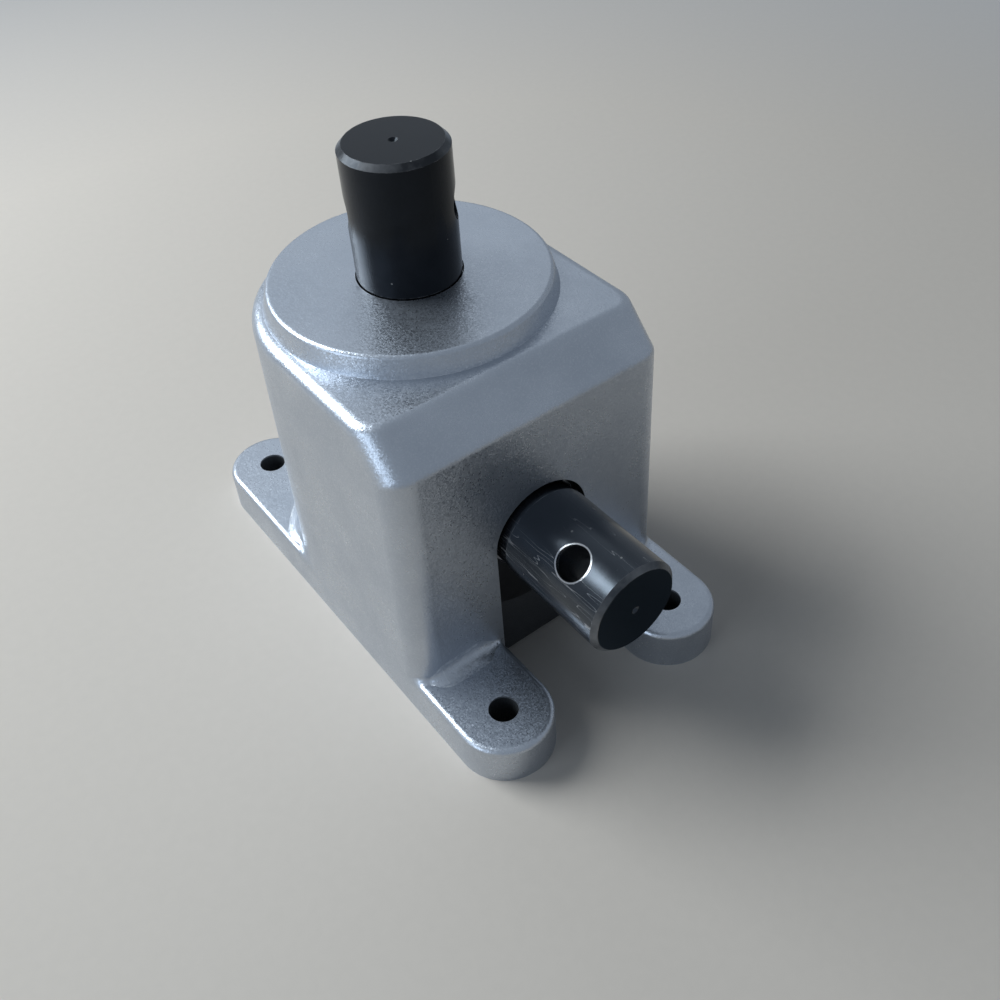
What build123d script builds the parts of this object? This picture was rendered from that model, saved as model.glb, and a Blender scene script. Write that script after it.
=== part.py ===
from build123d import *
import math
import os

# Right angle bevel gearbox, 1 to 1, with two 20 mm shafts that cross at right angles.
# The origin lies on the base plane under the upright shaft. Z is up, and the level shaft
# points forwards, to -Y. All sizes are in millimetres and all angles in degrees.

os.makedirs("parts", exist_ok=True)

# Shafts, measured along each shaft from the point where the two axes cross
apex_height = 34.5
shaft_reach = 65.0
shaft_d = 20.0
shaft_chamfer = 1.0
journal_d = 17.0
gear_seat_d = 15.0
relief_d = 19.5
relief_past_boss = 0.2
inner_end_chamfer = 0.5
end_clip_land = 0.9
cross_hole_d = 7.0
centre_mark_radius = 0.9
seam_from_cross_hole = 52.5
upper_cross_hole_from_end = 11.8
upper_cross_hole_turn = -34.0
front_cross_hole_from_end = 10.5
front_cross_hole_turn = 37.0

# Mitre bevel gears with straight teeth
gear_teeth = 18
gear_module = 2.0
gear_face_width = 8.0
pressure_angle = 20.0
dedendum_factor = 1.2
gear_backlash = 0.24
gear_rim = 1.0
gear_hub_d = 24.0
tooth_root_overlap = 0.5

# Parallel keys between shafts and gears
key_width = 5.0
key_height = 5.0
key_length = 8.0
key_shaft_depth = 3.0
key_top_clearance = 0.15
key_side_clearance = 0.02

# Cylindrical roller bearings, 17 x 40 x 12, that locate the shafts both ways
bearing_od = 40.0
bearing_width = 12.0
roller_d = 6.5
roller_length = 7.0
roller_count = 10
roller_play = 0.02
roller_end_play = 0.1
inner_flange_height = 1.5
outer_flange_height = 1.4
cage_thickness = 2.0
cage_rim = 1.0
cage_window_play = 0.12
bearing_stop = 35.5

# Grease shields between the bearings and the casting
shield_thickness = 0.5
shield_web = 0.3
shield_rim_width = 3.0
shield_clearance = 0.2

# Spring clips
shaft_clip_thickness = 1.0
shaft_clip_groove_depth = 0.35
shaft_clip_width = 2.2
shaft_clip_opening = 50.0
bore_clip_thickness = 1.75
bore_clip_groove_depth = 1.25
bore_clip_width = 3.2
bore_clip_opening = 40.0
shaft_clip_ear_radius = 1.2
shaft_clip_eye_radius = 0.5
bore_clip_ear_radius = 1.8
bore_clip_eye_radius = 0.9
clip_play = 0.05

# Cast housing, outside
base_half_width = 32.0
side_draft = 1.023
front_wall = 3.1
front_draft = 0.573
front_corner_radius = 5.4
front_chamfer_run = 7.2
front_chamfer_drop = 7.5
chamfer_line_radius = 2.2
top_edge_radius = 2.6
boss_height = 4.0
boss_set_in = 2.2
boss_slope = 1.5
boss_edge_radius = 0.9
top_bore_d = 20.5
arch_d = 22.0

# Cast housing, mounting ears
ear_thickness = 9.5
ear_end_radius = 10.2
ear_hole_d = 6.0
front_ear_past_body = 13.8
rear_ear_past_body = 9.0
ear_edge_radius = 1.2

# Cast housing, inside
wall = 4.4
cavity_corner_radius = 3.0
bearing_wall = 3.8
bearing_seat_clearance = 0.02
clip_groove_lip = 1.3
seat_shoulder = 1.4
shoulder_opening_d = 33.0
rib_thickness = 3.0
screw_boss_radius = 4.4
screw_boss_height = 16.0

# Bottom cover, gasket and screws
cover_recess = 0.5
cover_thickness = 3.5
gasket_thickness = 0.5
cover_rim = 2.4
cover_clearance = 0.15
cover_ledge = 2.0
cover_corner_radius = 2.0
saddle_top = 24.0
saddle_clearance = 0.1
saddle_seat_clearance = 0.02
saddle_core_width = 12.0
saddle_core_depth = 7.0
saddle_core_height = 9.0
saddle_core_offset = 9.5
saddle_core_radius = 1.5
screw_d = 4.0
screw_head_d = 7.6
screw_length = 14.0
screw_socket_size = 2.5
screw_socket_depth = 1.4
screw_fit = 0.03
screw_hole_clearance = 0.25
screw_hole_spare = 1.5
front_screw_from_side = 5.6
front_screw_from_front = 6.0
rear_screw_from_wall = 4.9
rear_screw_turn = 48.1

# How far a cut runs past the face it opens, and a rib into the wall that carries it
overshoot = 1.0
# How near an edge has to be to the place it is looked for
pick = 0.01

# Values worked out from those above
body_height = apex_height + bearing_stop
top_half_width = base_half_width - body_height * math.tan(math.radians(side_draft))
front_at_base = bearing_stop + front_wall
front_at_top = front_at_base - body_height * math.tan(math.radians(front_draft))
boss_foot_d = 2 * (top_half_width - boss_set_in)
boss_top_d = boss_foot_d - 2 * boss_slope
boss_top = body_height + boss_height
front_ear_reach = front_at_base + front_ear_past_body
rear_ear_reach = base_half_width + rear_ear_past_body
relief_end = boss_top - apex_height + relief_past_boss
ear_x = base_half_width - ear_end_radius
ledge_height = cover_recess + cover_thickness + gasket_thickness
cover_top = cover_recess + cover_thickness
recess_half_width = base_half_width - cover_rim
recess_front = bearing_stop
cavity_half_width = recess_half_width - cover_ledge
cavity_top = body_height - wall
cavity_front = recess_front - cover_ledge
front_screw_x = recess_half_width - front_screw_from_side
front_screw_y = front_screw_from_front - recess_front
rear_screw_orbit = recess_half_width - rear_screw_from_wall
rear_screw_x = rear_screw_orbit * math.cos(math.radians(rear_screw_turn))
rear_screw_y = rear_screw_orbit * math.sin(math.radians(rear_screw_turn))

bearing_outer = bearing_stop - shield_thickness
bearing_inner = bearing_outer - bearing_width
bearing_middle = (bearing_outer + bearing_inner) / 2
roller_orbit = (bearing_od / 2 + journal_d / 2) / 2
inner_race_radius = roller_orbit - roller_d / 2 - roller_play
outer_race_radius = roller_orbit + roller_d / 2 + roller_play
inner_flange_radius = inner_race_radius + inner_flange_height
outer_flange_radius = outer_race_radius - outer_flange_height
roller_track = roller_length + 2 * roller_end_play
flange_width = (bearing_width - roller_track) / 2
seat_radius = bearing_od / 2 + bearing_seat_clearance
seat_wall_radius = seat_radius + bearing_wall
bore_clip_face = bearing_inner - bore_clip_thickness
seat_tube_end = bore_clip_face - clip_play - clip_groove_lip
shoulder_back = bearing_inner - seat_shoulder

pitch_radius = gear_module * gear_teeth / 2
cone_distance = pitch_radius * math.sqrt(2)
small_end_scale = (cone_distance - gear_face_width) / cone_distance
addendum = gear_module
dedendum = dedendum_factor * gear_module
half_pitch_turn = 180.0 / gear_teeth
root_front_radius = small_end_scale * (pitch_radius - dedendum / math.sqrt(2))
root_front_station = small_end_scale * (pitch_radius + dedendum / math.sqrt(2))
root_back_radius = pitch_radius - dedendum / math.sqrt(2)
root_back_station = pitch_radius + dedendum / math.sqrt(2)
gear_back_station = root_back_station + gear_rim / math.sqrt(2)
gear_back_radius = root_back_radius - gear_rim / math.sqrt(2)
shaft_inner_end = root_front_station - shaft_clip_thickness - end_clip_land
key_start = (root_front_station + bearing_inner - key_length) / 2


def plan(half_width, front):
    """The housing's outline from above: half a circle behind, straight sides, flat front."""
    sides = Polyline((-half_width, 0), (-half_width, -front), (half_width, -front), (half_width, 0))
    back = ThreePointArc((half_width, 0), (0, half_width), (-half_width, 0))
    return make_face((sides + back).edges())


def rounded_plan(half_width, front, corner):
    """The same outline with its two front corners rounded."""
    outline = plan(half_width, front)
    return fillet(outline.vertices().sort_by(Axis.Y)[:2], corner)


def ring(inner, outer, start, end):
    """A plain ring round the Z axis between two heights."""
    flat = Circle(outer) - Circle(inner) if inner > 0 else Circle(outer)
    return extrude(Pos(0, 0, start) * flat, amount=end - start)


def turned(points):
    """A solid of revolution round Z from (radius, height) points."""
    return revolve(Plane.XZ * make_face(Polyline(*points, close=True).edges()), axis=Axis.Z)


def arch(radius, bottom, start, end):
    """A round-topped slot along Y that runs straight down from the level shaft's axis."""
    flat = Circle(radius) + Pos(0, -(apex_height - bottom) / 2) * Rectangle(
        2 * radius, apex_height - bottom
    )
    face = Plane(origin=(0, -start, apex_height), x_dir=(1, 0, 0), z_dir=(0, -1, 0)) * flat
    return extrude(face, amount=end - start)


def casting_outside():
    """The drafted body with its chamfered front, the ears and the round boss on top."""
    sides = plan(base_half_width, front_at_base + 2 * overshoot)
    upright = extrude(sides, amount=body_height, taper=side_draft)
    slope = math.tan(math.radians(front_draft))
    chamfer_foot = body_height - front_chamfer_drop
    corner_line = front_at_top - front_chamfer_run
    profile = Polyline(
        (-front_at_base, 0),
        (-front_at_base + slope * chamfer_foot, chamfer_foot),
        (-corner_line, body_height),
        (base_half_width + overshoot, body_height),
        (base_half_width + overshoot, 0),
        close=True,
    )
    side_view = Plane.YZ * make_face(profile.edges())
    body = upright & extrude(side_view, amount=2 * base_half_width, both=True)
    at_side = body.edges().filter_by(lambda e: abs(e.center().X) > top_half_width - pick)
    corners = at_side.filter_by(lambda e: e.center().Y < -corner_line and e.center().Z > pick)
    body = fillet(corners, front_corner_radius)
    crease = body.edges().filter_by(
        lambda e: abs(e.center().Z - chamfer_foot) < pick and e.length > top_half_width
    )
    body = fillet(crease, chamfer_line_radius)
    at_top = body.edges().filter_by(lambda e: abs(e.center().Z - body_height) < pick)
    rim = at_top.filter_by(lambda e: e.center().Y > pick - corner_line)
    return fillet(rim, top_edge_radius)


def ears():
    """Two long feet, one under each side, whose round ends are the four ears."""
    length = front_ear_reach + rear_ear_reach
    middle = (rear_ear_reach - front_ear_reach) / 2
    feet = []
    for side in (-1, 1):
        foot = Pos(side * ear_x, middle) * SlotCenterToCenter(length, 2 * ear_end_radius, rotation=90)
        feet.append(extrude(foot, amount=ear_thickness, taper=side_draft))
    return feet


def top_boss():
    """The round raised seat that the upright shaft comes out of."""
    boss = Pos(0, 0, body_height - overshoot) * Cone(
        boss_foot_d / 2,
        boss_top_d / 2,
        boss_height + overshoot,
        align=(Align.CENTER, Align.CENTER, Align.MIN),
    )
    return fillet(boss.edges().sort_by(Axis.Z)[-1], boss_edge_radius)


def screw_places():
    """Where the four cover screws stand."""
    front = [(side * front_screw_x, front_screw_y) for side in (-1, 1)]
    rear = [(side * rear_screw_x, rear_screw_y) for side in (-1, 1)]
    return front + rear


def bearing_seats():
    """The tube for the upper bearing and the arched wall for the front one, before boring."""
    tube = ring(0, seat_wall_radius, apex_height + seat_tube_end, cavity_top + overshoot)
    front = arch(seat_wall_radius, ledge_height, shoulder_back, recess_front)
    return tube + front


def inner_ribs():
    """Ribs that carry the upper bearing's tube from the side and rear walls."""
    ribs = []
    for turn in (0, 90, 180):
        rib = Box(
            base_half_width,
            rib_thickness,
            cavity_top + overshoot - apex_height - seat_tube_end,
            align=(Align.MIN, Align.CENTER, Align.MIN),
        )
        ribs.append(Rot(0, 0, turn) * Pos(0, 0, apex_height + seat_tube_end) * rib)
    return ribs


def make_housing():
    """The one-piece casting, open below."""
    outside = casting_outside()
    outside = outside + ears()
    ear_edges = outside.edges().filter_by(lambda e: abs(e.center().Z - ear_thickness) < pick)
    outside = fillet(ear_edges, ear_edge_radius)
    outside = outside + top_boss()
    cavity_plan = rounded_plan(cavity_half_width, cavity_front, cavity_corner_radius)
    cavity = extrude(cavity_plan, amount=cavity_top, taper=side_draft)
    shell = outside - cavity
    inside = bearing_seats() + inner_ribs()
    for x, y in screw_places():
        post = Cylinder(screw_boss_radius, screw_boss_height, align=(Align.CENTER, Align.CENTER, Align.MIN))
        inside = inside + Pos(x, y, ledge_height) * post
    reach = plan(cavity_half_width + overshoot, cavity_front + overshoot)
    inside = inside & extrude(reach, amount=cavity_top + overshoot)
    shell = shell + inside
    recess = extrude(
        rounded_plan(recess_half_width, recess_front, cover_corner_radius), amount=ledge_height
    )
    shell = shell - recess
    shell = shell - ring(0, top_bore_d / 2, body_height - wall, boss_top + overshoot)
    shell = shell - ring(
        0,
        seat_radius,
        apex_height + seat_tube_end - overshoot,
        apex_height + bearing_stop,
    )
    groove_radius = seat_radius + bore_clip_groove_depth
    shell = shell - ring(
        0,
        groove_radius,
        apex_height + bore_clip_face - clip_play,
        apex_height + bearing_inner,
    )
    behind = shoulder_back - overshoot
    shell = shell - arch(arch_d / 2, -overshoot, behind, front_at_base + overshoot)
    shell = shell - arch(shoulder_opening_d / 2, -overshoot, behind, bearing_inner + overshoot)
    shell = shell - arch(seat_radius, -overshoot, bearing_inner, bearing_stop)
    for x, y in screw_places():
        hole = Cylinder(
            screw_d / 2 + screw_fit,
            screw_length - ledge_height + cover_recess + screw_hole_spare,
            align=(Align.CENTER, Align.CENTER, Align.MIN),
        )
        shell = shell - Pos(x, y, ledge_height) * hole
    for side in (-1, 1):
        for y in (-front_ear_reach, rear_ear_reach):
            shell = shell - Pos(side * ear_x, y, ear_thickness / 2) * Cylinder(ear_hole_d / 2, 2 * ear_thickness)
    return shell


def make_bottom_cover():
    """The flat cover with the saddle that holds the front bearing up in its seat."""
    outline = rounded_plan(
        recess_half_width - cover_clearance, recess_front - cover_clearance, cover_corner_radius
    )
    cover = extrude(Pos(0, 0, cover_recess) * outline, amount=cover_thickness)
    saddle = Box(
        2 * (seat_radius - saddle_clearance),
        bearing_stop - bearing_inner - 2 * saddle_clearance,
        saddle_top - cover_recess,
        align=(Align.CENTER, Align.CENTER, Align.MIN),
    )
    saddle_y = -(bearing_stop + bearing_inner) / 2
    cover = cover + Pos(0, saddle_y, cover_recess) * saddle
    seat = Cylinder(bearing_od / 2 + saddle_seat_clearance, bearing_stop)
    cover = cover - Pos(0, saddle_y, apex_height) * Rot(90, 0, 0) * seat
    for side in (-1, 1):
        core = Box(
            saddle_core_width,
            saddle_core_depth,
            saddle_core_height,
            align=(Align.CENTER, Align.CENTER, Align.MIN),
        )
        core = fillet(core.edges().filter_by(Axis.Z), saddle_core_radius)
        cover = cover - Pos(side * saddle_core_offset, saddle_y, cover_recess) * core
    head_depth = (screw_head_d - screw_d) / 2
    for x, y in screw_places():
        hole = Cylinder(screw_d / 2 + screw_hole_clearance, 2 * (cover_thickness + overshoot))
        sink = Cone(
            screw_head_d / 2 + screw_hole_clearance,
            screw_d / 2,
            head_depth + screw_hole_clearance,
            align=(Align.CENTER, Align.CENTER, Align.MIN),
        )
        cover = cover - Pos(x, y, cover_top) * hole - Pos(x, y, cover_recess) * sink
    return cover


def make_cover_gasket():
    """The flat gasket under the casting's ledge, open at the front for the saddle."""
    outline = rounded_plan(
        recess_half_width - cover_clearance, recess_front - cover_clearance, cover_corner_radius
    )
    gasket = outline - plan(cavity_half_width, shoulder_back)
    for x, y in screw_places():
        gasket = gasket + (Pos(x, y) * Circle(screw_boss_radius) & outline)
    saddle_gap = Rectangle(
        2 * seat_radius, bearing_stop, align=(Align.CENTER, Align.MAX)
    )
    gasket = gasket - Pos(0, -shoulder_back + cover_ledge) * saddle_gap
    for x, y in screw_places():
        gasket = gasket - Pos(x, y) * Circle(screw_d / 2 + screw_hole_clearance)
    return extrude(Pos(0, 0, cover_top) * gasket, amount=gasket_thickness)


def make_cover_screws():
    """Four countersunk socket screws."""
    head_depth = (screw_head_d - screw_d) / 2
    profile = [
        (0, 0),
        (screw_head_d / 2, 0),
        (screw_d / 2, head_depth),
        (screw_d / 2, screw_length),
        (0, screw_length),
    ]
    socket = RegularPolygon(screw_socket_size / 2, 6, major_radius=False)
    screw = turned(profile) - extrude(socket, amount=screw_socket_depth)
    return Compound([Pos(x, y, cover_recess) * screw for x, y in screw_places()])


def make_shaft(cross_hole_from_end, cross_hole_turn):
    """A stepped shaft along Z, drawn from the crossing outwards, its seam clear of the cross hole."""
    seat = gear_seat_d / 2
    groove_start = root_front_station - shaft_clip_thickness - clip_play
    groove_radius = seat - shaft_clip_groove_depth
    profile = [
        (0, shaft_inner_end),
        (seat - inner_end_chamfer, shaft_inner_end),
        (seat, shaft_inner_end + inner_end_chamfer),
        (seat, groove_start),
        (groove_radius, groove_start),
        (groove_radius, root_front_station),
        (seat, root_front_station),
        (seat, bearing_inner),
        (journal_d / 2, bearing_inner),
        (journal_d / 2, bearing_outer),
        (relief_d / 2, bearing_outer),
        (relief_d / 2, relief_end),
        (shaft_d / 2, relief_end),
        (shaft_d / 2, shaft_reach - shaft_chamfer),
        (shaft_d / 2 - shaft_chamfer, shaft_reach),
        (centre_mark_radius, shaft_reach),
        (0, shaft_reach - centre_mark_radius),
    ]
    shaft = Rot(0, 0, cross_hole_turn - seam_from_cross_hole) * turned(profile)
    hole = Rot(0, 0, cross_hole_turn) * Rot(0, 90, 0) * Cylinder(cross_hole_d / 2, 2 * shaft_d)
    shaft = shaft - Pos(0, 0, shaft_reach - cross_hole_from_end) * hole
    return shaft - make_key()


def make_key():
    """A parallel key with round ends, standing in its bed on the shaft's side away from +X."""
    bed = gear_seat_d / 2 - key_shaft_depth
    middle = key_start + key_length / 2
    face = Plane(origin=(-bed, 0, middle), x_dir=(0, 0, 1), z_dir=(-1, 0, 0))
    return extrude(face * SlotOverall(key_length, key_width), amount=key_height)


def tooth_section(scale):
    """One tooth seen square to the pitch cone, at a share of the full cone distance."""
    angle = math.radians(pressure_angle)
    base = cone_distance * math.cos(angle)
    tip = cone_distance + addendum
    root = cone_distance - dedendum - tooth_root_overlap
    thickness = math.pi * gear_module / 2 - gear_backlash / 2
    half_turn = thickness / (2 * cone_distance) + math.tan(angle) - angle

    def flank(radius):
        roll = math.acos(min(1.0, base / radius))
        turn = half_turn - math.tan(roll) + roll
        return (scale * radius * math.sin(turn), scale * radius * math.cos(turn))

    foot = (scale * root * math.sin(half_turn), scale * root * math.cos(half_turn))
    middle = flank(cone_distance)
    end = flank(tip)
    right = ThreePointArc(foot, middle, end)
    left = right.mirror(Plane.YZ)
    top = Line(end, (-end[0], end[1]))
    bottom = Line(foot, (-foot[0], foot[1]))
    face = make_face([right, left, top, bottom])
    square = Plane(origin=(0, 0, 2 * pitch_radius * scale), x_dir=(0, 1, 0), z_dir=(-1, 0, -1))
    return square * face


def make_gear():
    """A mitre gear round Z with its teeth towards the crossing of the axes."""
    body = turned(
        [
            (gear_seat_d / 2, root_front_station),
            (root_front_radius, root_front_station),
            (root_back_radius, root_back_station),
            (gear_back_radius, gear_back_station),
            (gear_hub_d / 2, gear_back_station),
            (gear_hub_d / 2, bearing_inner),
            (gear_seat_d / 2, bearing_inner),
        ]
    )
    tooth = loft([tooth_section(1.0), tooth_section(small_end_scale)], ruled=True)
    gear = body + [Rot(0, 0, 2 * half_pitch_turn * number) * tooth for number in range(gear_teeth)]
    keyway_top = gear_seat_d / 2 - key_shaft_depth + key_height + key_top_clearance
    keyway = Box(
        keyway_top,
        key_width + 2 * key_side_clearance,
        2 * bearing_inner,
        align=(Align.MAX, Align.CENTER, Align.MIN),
    )
    return gear - keyway


def open_clip(inner, outer, start, thickness, opening, ear_orbit, ear_radius, eye_radius):
    """A flat spring clip with two eyes beside its opening, which faces +X."""
    clip = Circle(outer) - Circle(inner)
    reach = 2 * outer
    half = math.radians(opening / 2)
    wedge = Polyline(
        (0, 0),
        (reach * math.cos(half), reach * math.sin(half)),
        (reach * math.cos(half), -reach * math.sin(half)),
        close=True,
    )
    clip = clip - make_face(wedge.edges())
    ear_turn = opening / 2 + math.degrees(ear_radius / ear_orbit)
    for turn in (-ear_turn, ear_turn):
        clip = clip + Rot(0, 0, turn) * Pos(ear_orbit, 0) * Circle(ear_radius)
    for turn in (-ear_turn, ear_turn):
        clip = clip - Rot(0, 0, turn) * Pos(ear_orbit, 0) * Circle(eye_radius)
    return extrude(Pos(0, 0, start) * clip, amount=thickness)


def make_gear_clip():
    """The clip that holds a gear on its shaft's inner end."""
    inner = gear_seat_d / 2 - shaft_clip_groove_depth + clip_play / 2
    outer = inner + shaft_clip_width
    return open_clip(
        inner,
        outer,
        root_front_station - shaft_clip_thickness - clip_play / 2,
        shaft_clip_thickness,
        shaft_clip_opening,
        outer - clip_play,
        shaft_clip_ear_radius,
        shaft_clip_eye_radius,
    )


def make_bearing_clip():
    """The clip in the casting under the upper bearing's outer ring."""
    outer = seat_radius + bore_clip_groove_depth - clip_play
    inner = outer - bore_clip_width
    return open_clip(
        inner,
        outer,
        bore_clip_face,
        bore_clip_thickness,
        bore_clip_opening,
        inner,
        bore_clip_ear_radius,
        bore_clip_eye_radius,
    )


def make_inner_ring():
    """The bearing's inner ring with its one fixed flange."""
    return turned(
        [
            (journal_d / 2, bearing_inner + flange_width),
            (inner_race_radius, bearing_inner + flange_width),
            (inner_race_radius, bearing_outer - flange_width),
            (inner_flange_radius, bearing_outer - flange_width),
            (inner_flange_radius, bearing_outer),
            (journal_d / 2, bearing_outer),
        ]
    )


def make_outer_ring():
    """The bearing's outer ring with two flanges."""
    outside = bearing_od / 2
    return turned(
        [
            (outside, bearing_inner),
            (outside, bearing_outer),
            (outer_flange_radius, bearing_outer),
            (outer_flange_radius, bearing_outer - flange_width),
            (outer_race_radius, bearing_outer - flange_width),
            (outer_race_radius, bearing_inner + flange_width),
            (outer_flange_radius, bearing_inner + flange_width),
            (outer_flange_radius, bearing_inner),
        ]
    )


def make_rollers():
    """The ring of rollers."""
    roller = Pos(roller_orbit, 0, bearing_middle) * Cylinder(roller_d / 2, roller_length)
    turn = 360 / roller_count
    return Compound([Rot(0, 0, turn * number) * roller for number in range(roller_count)])


def make_cage():
    """The cage that keeps the rollers apart, with a window for each."""
    half_length = roller_length / 2 + cage_window_play + cage_rim
    cage = ring(
        roller_orbit - cage_thickness / 2,
        roller_orbit + cage_thickness / 2,
        bearing_middle - half_length,
        bearing_middle + half_length,
    )
    window = Box(
        roller_d,
        roller_d + 2 * cage_window_play,
        roller_length + 2 * cage_window_play,
    )
    for number in range(roller_count):
        cage = cage - Rot(0, 0, 360 / roller_count * number) * Pos(roller_orbit, 0, bearing_middle) * window
    return cage


def make_grease_shield():
    """A dished disc between the bearing's outer ring and the casting."""
    outside = bearing_od / 2 - clip_play
    web_inside = shaft_d / 2 + shield_clearance
    return turned(
        [
            (web_inside, bearing_stop),
            (web_inside, bearing_stop - shield_web),
            (outside - shield_rim_width, bearing_stop - shield_web),
            (outside - shield_rim_width, bearing_outer),
            (outside, bearing_outer),
            (outside, bearing_stop),
        ]
    )


# Each shaft line is drawn along Z from the crossing of the axes and then laid in its own frame,
# with a tooth of the upright gear facing a gap of the level one.
tilt = math.radians(half_pitch_turn)
upright = Plane(origin=(0, 0, apex_height), x_dir=(0, -1, 0), z_dir=(0, 0, 1))
level = Plane(
    origin=(0, 0, apex_height), x_dir=(math.sin(tilt), 0, math.cos(tilt)), z_dir=(0, -1, 0)
)
gear = make_gear()
key = make_key()
gear_clip = make_gear_clip()
collar = ring(journal_d / 2, inner_flange_radius, bearing_inner, bearing_inner + flange_width)
bearing = {
    "inner_ring": make_inner_ring(),
    "collar": collar,
    "rollers": make_rollers(),
    "cage": make_cage(),
    "outer_ring": make_outer_ring(),
}
shield = make_grease_shield()
upright_shaft = make_shaft(upper_cross_hole_from_end, upper_cross_hole_turn + 90)
level_shaft = make_shaft(front_cross_hole_from_end, front_cross_hole_turn + half_pitch_turn)

parts = {
    "housing": make_housing(),
    "bottom_cover": make_bottom_cover(),
    "cover_gasket": make_cover_gasket(),
    "cover_screws": make_cover_screws(),
    "upright_shaft": upright * upright_shaft,
    "level_shaft": level * level_shaft,
    "upright_gear": upright * gear,
    "level_gear": level * gear,
    "upright_key": upright * key,
    "level_key": level * key,
    "upright_gear_clip": upright * gear_clip,
    "level_gear_clip": level * gear_clip,
    "upper_bearing_clip": upright * make_bearing_clip(),
    "upper_grease_shield": upright * shield,
    "front_grease_shield": level * shield,
}
for name, piece in bearing.items():
    parts["upper_bearing_" + name] = upright * piece
    parts["front_bearing_" + name] = level * piece

for name, piece in parts.items():
    export_step(piece, "parts/" + name + ".step")
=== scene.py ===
import math

import bmesh
import bpy
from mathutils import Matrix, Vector


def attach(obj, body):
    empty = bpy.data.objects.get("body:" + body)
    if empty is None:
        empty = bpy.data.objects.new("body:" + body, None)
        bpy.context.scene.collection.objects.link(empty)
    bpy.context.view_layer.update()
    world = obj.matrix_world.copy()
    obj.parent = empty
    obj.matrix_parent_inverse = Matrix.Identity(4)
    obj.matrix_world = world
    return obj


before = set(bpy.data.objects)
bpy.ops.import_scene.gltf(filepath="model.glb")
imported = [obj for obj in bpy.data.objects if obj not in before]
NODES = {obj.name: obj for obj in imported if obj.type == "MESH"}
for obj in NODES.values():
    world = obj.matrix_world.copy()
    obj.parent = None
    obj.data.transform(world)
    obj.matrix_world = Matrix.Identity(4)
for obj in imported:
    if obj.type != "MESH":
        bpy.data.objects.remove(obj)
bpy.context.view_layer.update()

bl_info = {
    "name": "Right Angle Bevel Gearbox",
    "version": (1, 0, 0),
    "blender": (4, 5, 0),
    "location": "3D View > Sidebar > Gearbox",
    "description": "Finishes, small details and stage for a right angle bevel gearbox",
    "category": "Object",
}

# The two shafts, in metres: where their axes cross, their size, their end and their cross holes
APEX_HEIGHT = 0.0345
SHAFT_RADIUS = 0.010
SHAFT_REACH = 0.065
CHAMFER = 0.001
HOLE_RADIUS = 0.0035
UPRIGHT_HOLE_ALONG = SHAFT_REACH - 0.0118
UPRIGHT_HOLE_TURN = math.radians(-34.0)
LEVEL_HOLE_ALONG = SHAFT_REACH - 0.0105
LEVEL_HOLE_TURN = math.radians(127.0)

# The side of the level shaft that is rubbed, and how far along it the rubbing begins and is full
RUBBED_SIDE = math.radians(182.0)
RUBBED_FROM = 0.044
RUBBED_FULL = 0.052

# The casting, in metres: its slot, its ear holes, and the outline of the wall that the ears meet
SLOT_RADIUS = 0.011
SLOT_BACK = 0.030
FRONT_FACE = 0.0386
EAR_HOLE_RADIUS = 0.003
EAR_HOLE_SIDE = 0.0218
EAR_HOLE_FRONT = 0.0524
EAR_HOLE_REAR = 0.0410
EAR_HEIGHT = 0.0095
EAR_EDGE = 0.0129
CORNER_CENTRE = (0.0264, 0.0331)
CORNER_RADIUS = 0.00537
REAR_RADIUS = 0.03177

# Where a hole's wall is painted dark as shade, in metres: off the wall, and in from the edge of
# slot and ear hole
WALL_SKIN = 0.00005
DARK_FROM = 0.0001
SLOT_DARK_FULL = 0.0007
EAR_DARK_FULL = 0.0006

# The coves: how far they sink into the casting, the steps of a sweep, their least share of the full
# radius, the angle from which an edge is sharp, and where they end round the corner and the back
COVE_SINK = 0.00002
COVE_STEPS = 8
COVE_LEAST = 0.3
COVE_SHARP = math.radians(35.0)
COVE_END_FRONT = math.radians(40.0)
COVE_END_REAR = math.radians(21.0)

# What the casting's finish adds to its silver, how strongly, and the depth of its soft waves:
# flakes, edge wear with a painted highlight on the rims, and painted shade in the slot and ear
# holes
FLAKE_COLOUR = (0.84, 0.86, 0.89)
FLAKE_SHARE = 0.14
# Edge colour: wear, and a painted highlight on the rims
WORN_AND_HIGHLIGHT_COLOUR = (0.86, 0.88, 0.90)
WORN_AND_HIGHLIGHT_SHARE = 0.55
# Painted shade: the near black colour of the walls of the slot and the ear holes
PAINTED_SHADE_COLOUR = (0.004, 0.004, 0.004)
PAINTED_SHADE_SHARE = 0.94
WAVE_DEPTH = 0.00003

# The shafts' finish: dust, the tint of the sheen, where the end face, which is painted darker as
# shade, begins, and depths in metres
DUST_COLOUR = (0.42, 0.41, 0.39)
SHEEN_TINT = (0.74, 0.86, 1.0, 1.0)
END_FROM = 0.00012
END_FULL = 0.00002
SHAFT_GRAIN_DEPTH = 0.000004
SHAFT_MARK_DEPTH = 0.000003
SHAFT_COAT_DEPTH = 0.00001

# The stage: half the floor's width and where it fades into the wall, in metres, and the colours
FLOOR_HALF = 4.0
FLOOR_FADE = (0.24, 0.60)
WALL_COLOUR = (0.32, 0.36, 0.41)
ROOM_COLOUR = (0.66, 0.81, 1.0)

# Each lamp's place and width in metres, its colour, and the setting that holds its power
LAMPS = (
    ("key_lamp", (-0.38, 0.55, 0.59), 0.52, (0.87, 0.945, 1.0), "key_power"),
    ("left_lamp", (-0.80, -0.05, 0.28), 0.50, (0.72, 0.85, 1.0), "fill_power"),
    ("back_lamp", (0.30, 0.72, 0.66), 0.80, (0.86, 0.93, 1.0), "back_power"),
)

# The camera: sensor and lens in millimetres, shift, nearest and furthest reach, place and turn
CAMERA_SENSOR = 36.0
CAMERA_LENS = 37.787
CAMERA_SHIFT = (-0.01922, 0.02784)
CAMERA_CLIP = (0.01, 20.0)
CAMERA_PLACE = (-0.08649, -0.15068, 0.18080)
CAMERA_TURN = (0.873736, 0.360974, -0.105770, -0.308377)


# Settings


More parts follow.
